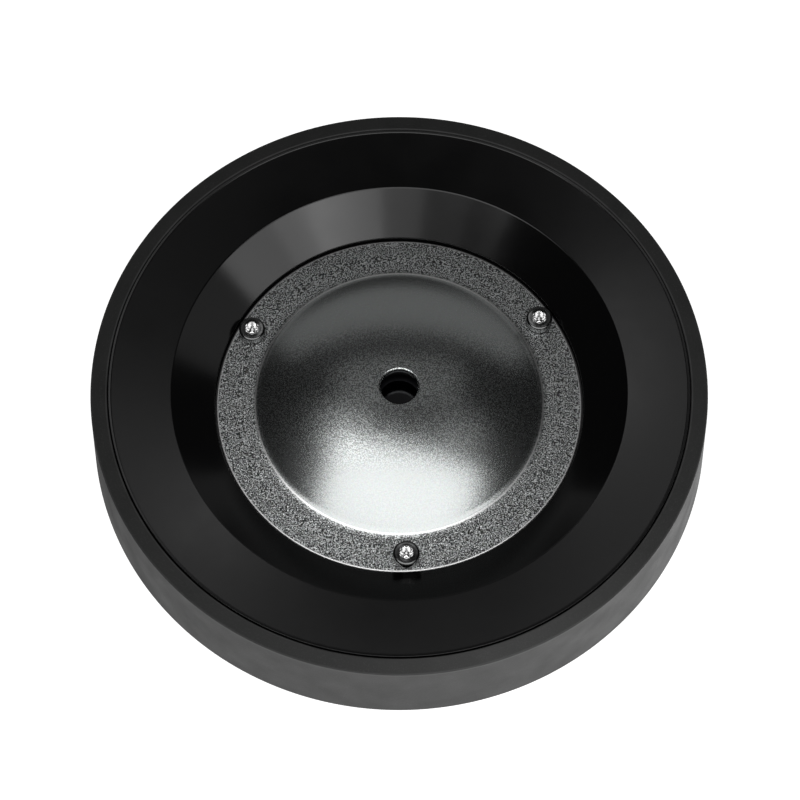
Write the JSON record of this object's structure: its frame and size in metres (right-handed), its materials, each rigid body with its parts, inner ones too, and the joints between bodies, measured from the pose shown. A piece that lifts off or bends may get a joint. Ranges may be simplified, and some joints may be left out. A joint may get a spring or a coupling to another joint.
{
  "type": "banding wheel",
  "caption": "Low pottery banding wheel lying on its round wheel head, gloss base upwards with a recessed domed steel cover plate; the head spins on the base.",
  "frame": {"origin": "centre of the wheel head's flat working face, which the wheel lies on as stored", "axes": "+Z along the spin axis, from the working face up to the base's foot ring; +X to the right and +Y away from the viewer, set by the cover screws at 32.4, 152.4 and 272.4 degrees from +X towards +Y. In use the wheel is turned over, with +Z down."},
  "size_m": [0.1814, 0.1814, 0.028],
  "materials": {
    "textured_coat": "cast aluminium with a fine textured black powder coat",
    "gloss_black": "moulded gloss black",
    "plate_steel": "pressed steel, bright, with a fine grain on the flange and a smoother dome",
    "screw_steel": "dark bright-plated screw steel",
    "insert_brass": "knurled brass",
    "race_steel": "ground bearing steel",
    "ball_steel": "polished bearing balls",
    "spindle_steel": "turned steel",
    "spring_steel": "black oxide spring steel",
    "zinc_plate": "zinc plated",
    "cage_nylon": "natural nylon",
    "seal_rubber": "black bearing seal"
  },
  "bodies": {
    "base": {"base_shell": "gloss_black", "base_race": "race_steel", "bearing_outer_ring": "race_steel", "bearing_shield_lower": "seal_rubber", "bearing_shield_upper": "seal_rubber", "bearing_circlip": "spring_steel", "cover_plate": "plate_steel", "cover_screw_1": "screw_steel", "cover_screw_2": "screw_steel", "cover_screw_3": "screw_steel", "screw_insert_1": "insert_brass", "screw_insert_2": "insert_brass", "screw_insert_3": "insert_brass"},
    "wheel_head": {"wheel_head": "textured_coat", "head_race": "race_steel", "spindle": "spindle_steel", "flange_screw_1": "zinc_plate", "flange_screw_2": "zinc_plate", "flange_screw_3": "zinc_plate", "flange_screw_4": "zinc_plate", "bearing_inner_ring": "race_steel", "spindle_washer": "zinc_plate", "spindle_circlip": "spring_steel"},
    "thrust_set": {"thrust_cage": "cage_nylon", "thrust_ball_01": "ball_steel", "thrust_ball_02": "ball_steel", "thrust_ball_03": "ball_steel", "thrust_ball_04": "ball_steel", "thrust_ball_05": "ball_steel", "thrust_ball_06": "ball_steel", "thrust_ball_07": "ball_steel", "thrust_ball_08": "ball_steel", "thrust_ball_09": "ball_steel", "thrust_ball_10": "ball_steel", "thrust_ball_11": "ball_steel", "thrust_ball_12": "ball_steel"},
    "bearing_set": {"bearing_cage": "cage_nylon", "bearing_ball_01": "ball_steel", "bearing_ball_02": "ball_steel", "bearing_ball_03": "ball_steel", "bearing_ball_04": "ball_steel", "bearing_ball_05": "ball_steel", "bearing_ball_06": "ball_steel", "bearing_ball_07": "ball_steel", "bearing_ball_08": "ball_steel"}
  },
  "joints": [
    {"name": "head_spin", "type": "hinge", "parent": "base", "child": "wheel_head", "pos_m": [0, 0, 0], "axis": [0, 0, 1], "continuous": true},
    {"name": "thrust_set_spin", "type": "hinge", "parent": "base", "child": "thrust_set", "pos_m": [0, 0, 0], "axis": [0, 0, 1], "continuous": true},
    {"name": "bearing_set_spin", "type": "hinge", "parent": "base", "child": "bearing_set", "pos_m": [0, 0, 0], "axis": [0, 0, 1], "continuous": true}
  ],
  "couplings": [
    {"joint": "thrust_set_spin", "follows": "head_spin", "ratio": 0.5},
    {"joint": "bearing_set_spin", "follows": "head_spin", "ratio": 0.4111}
  ]
}
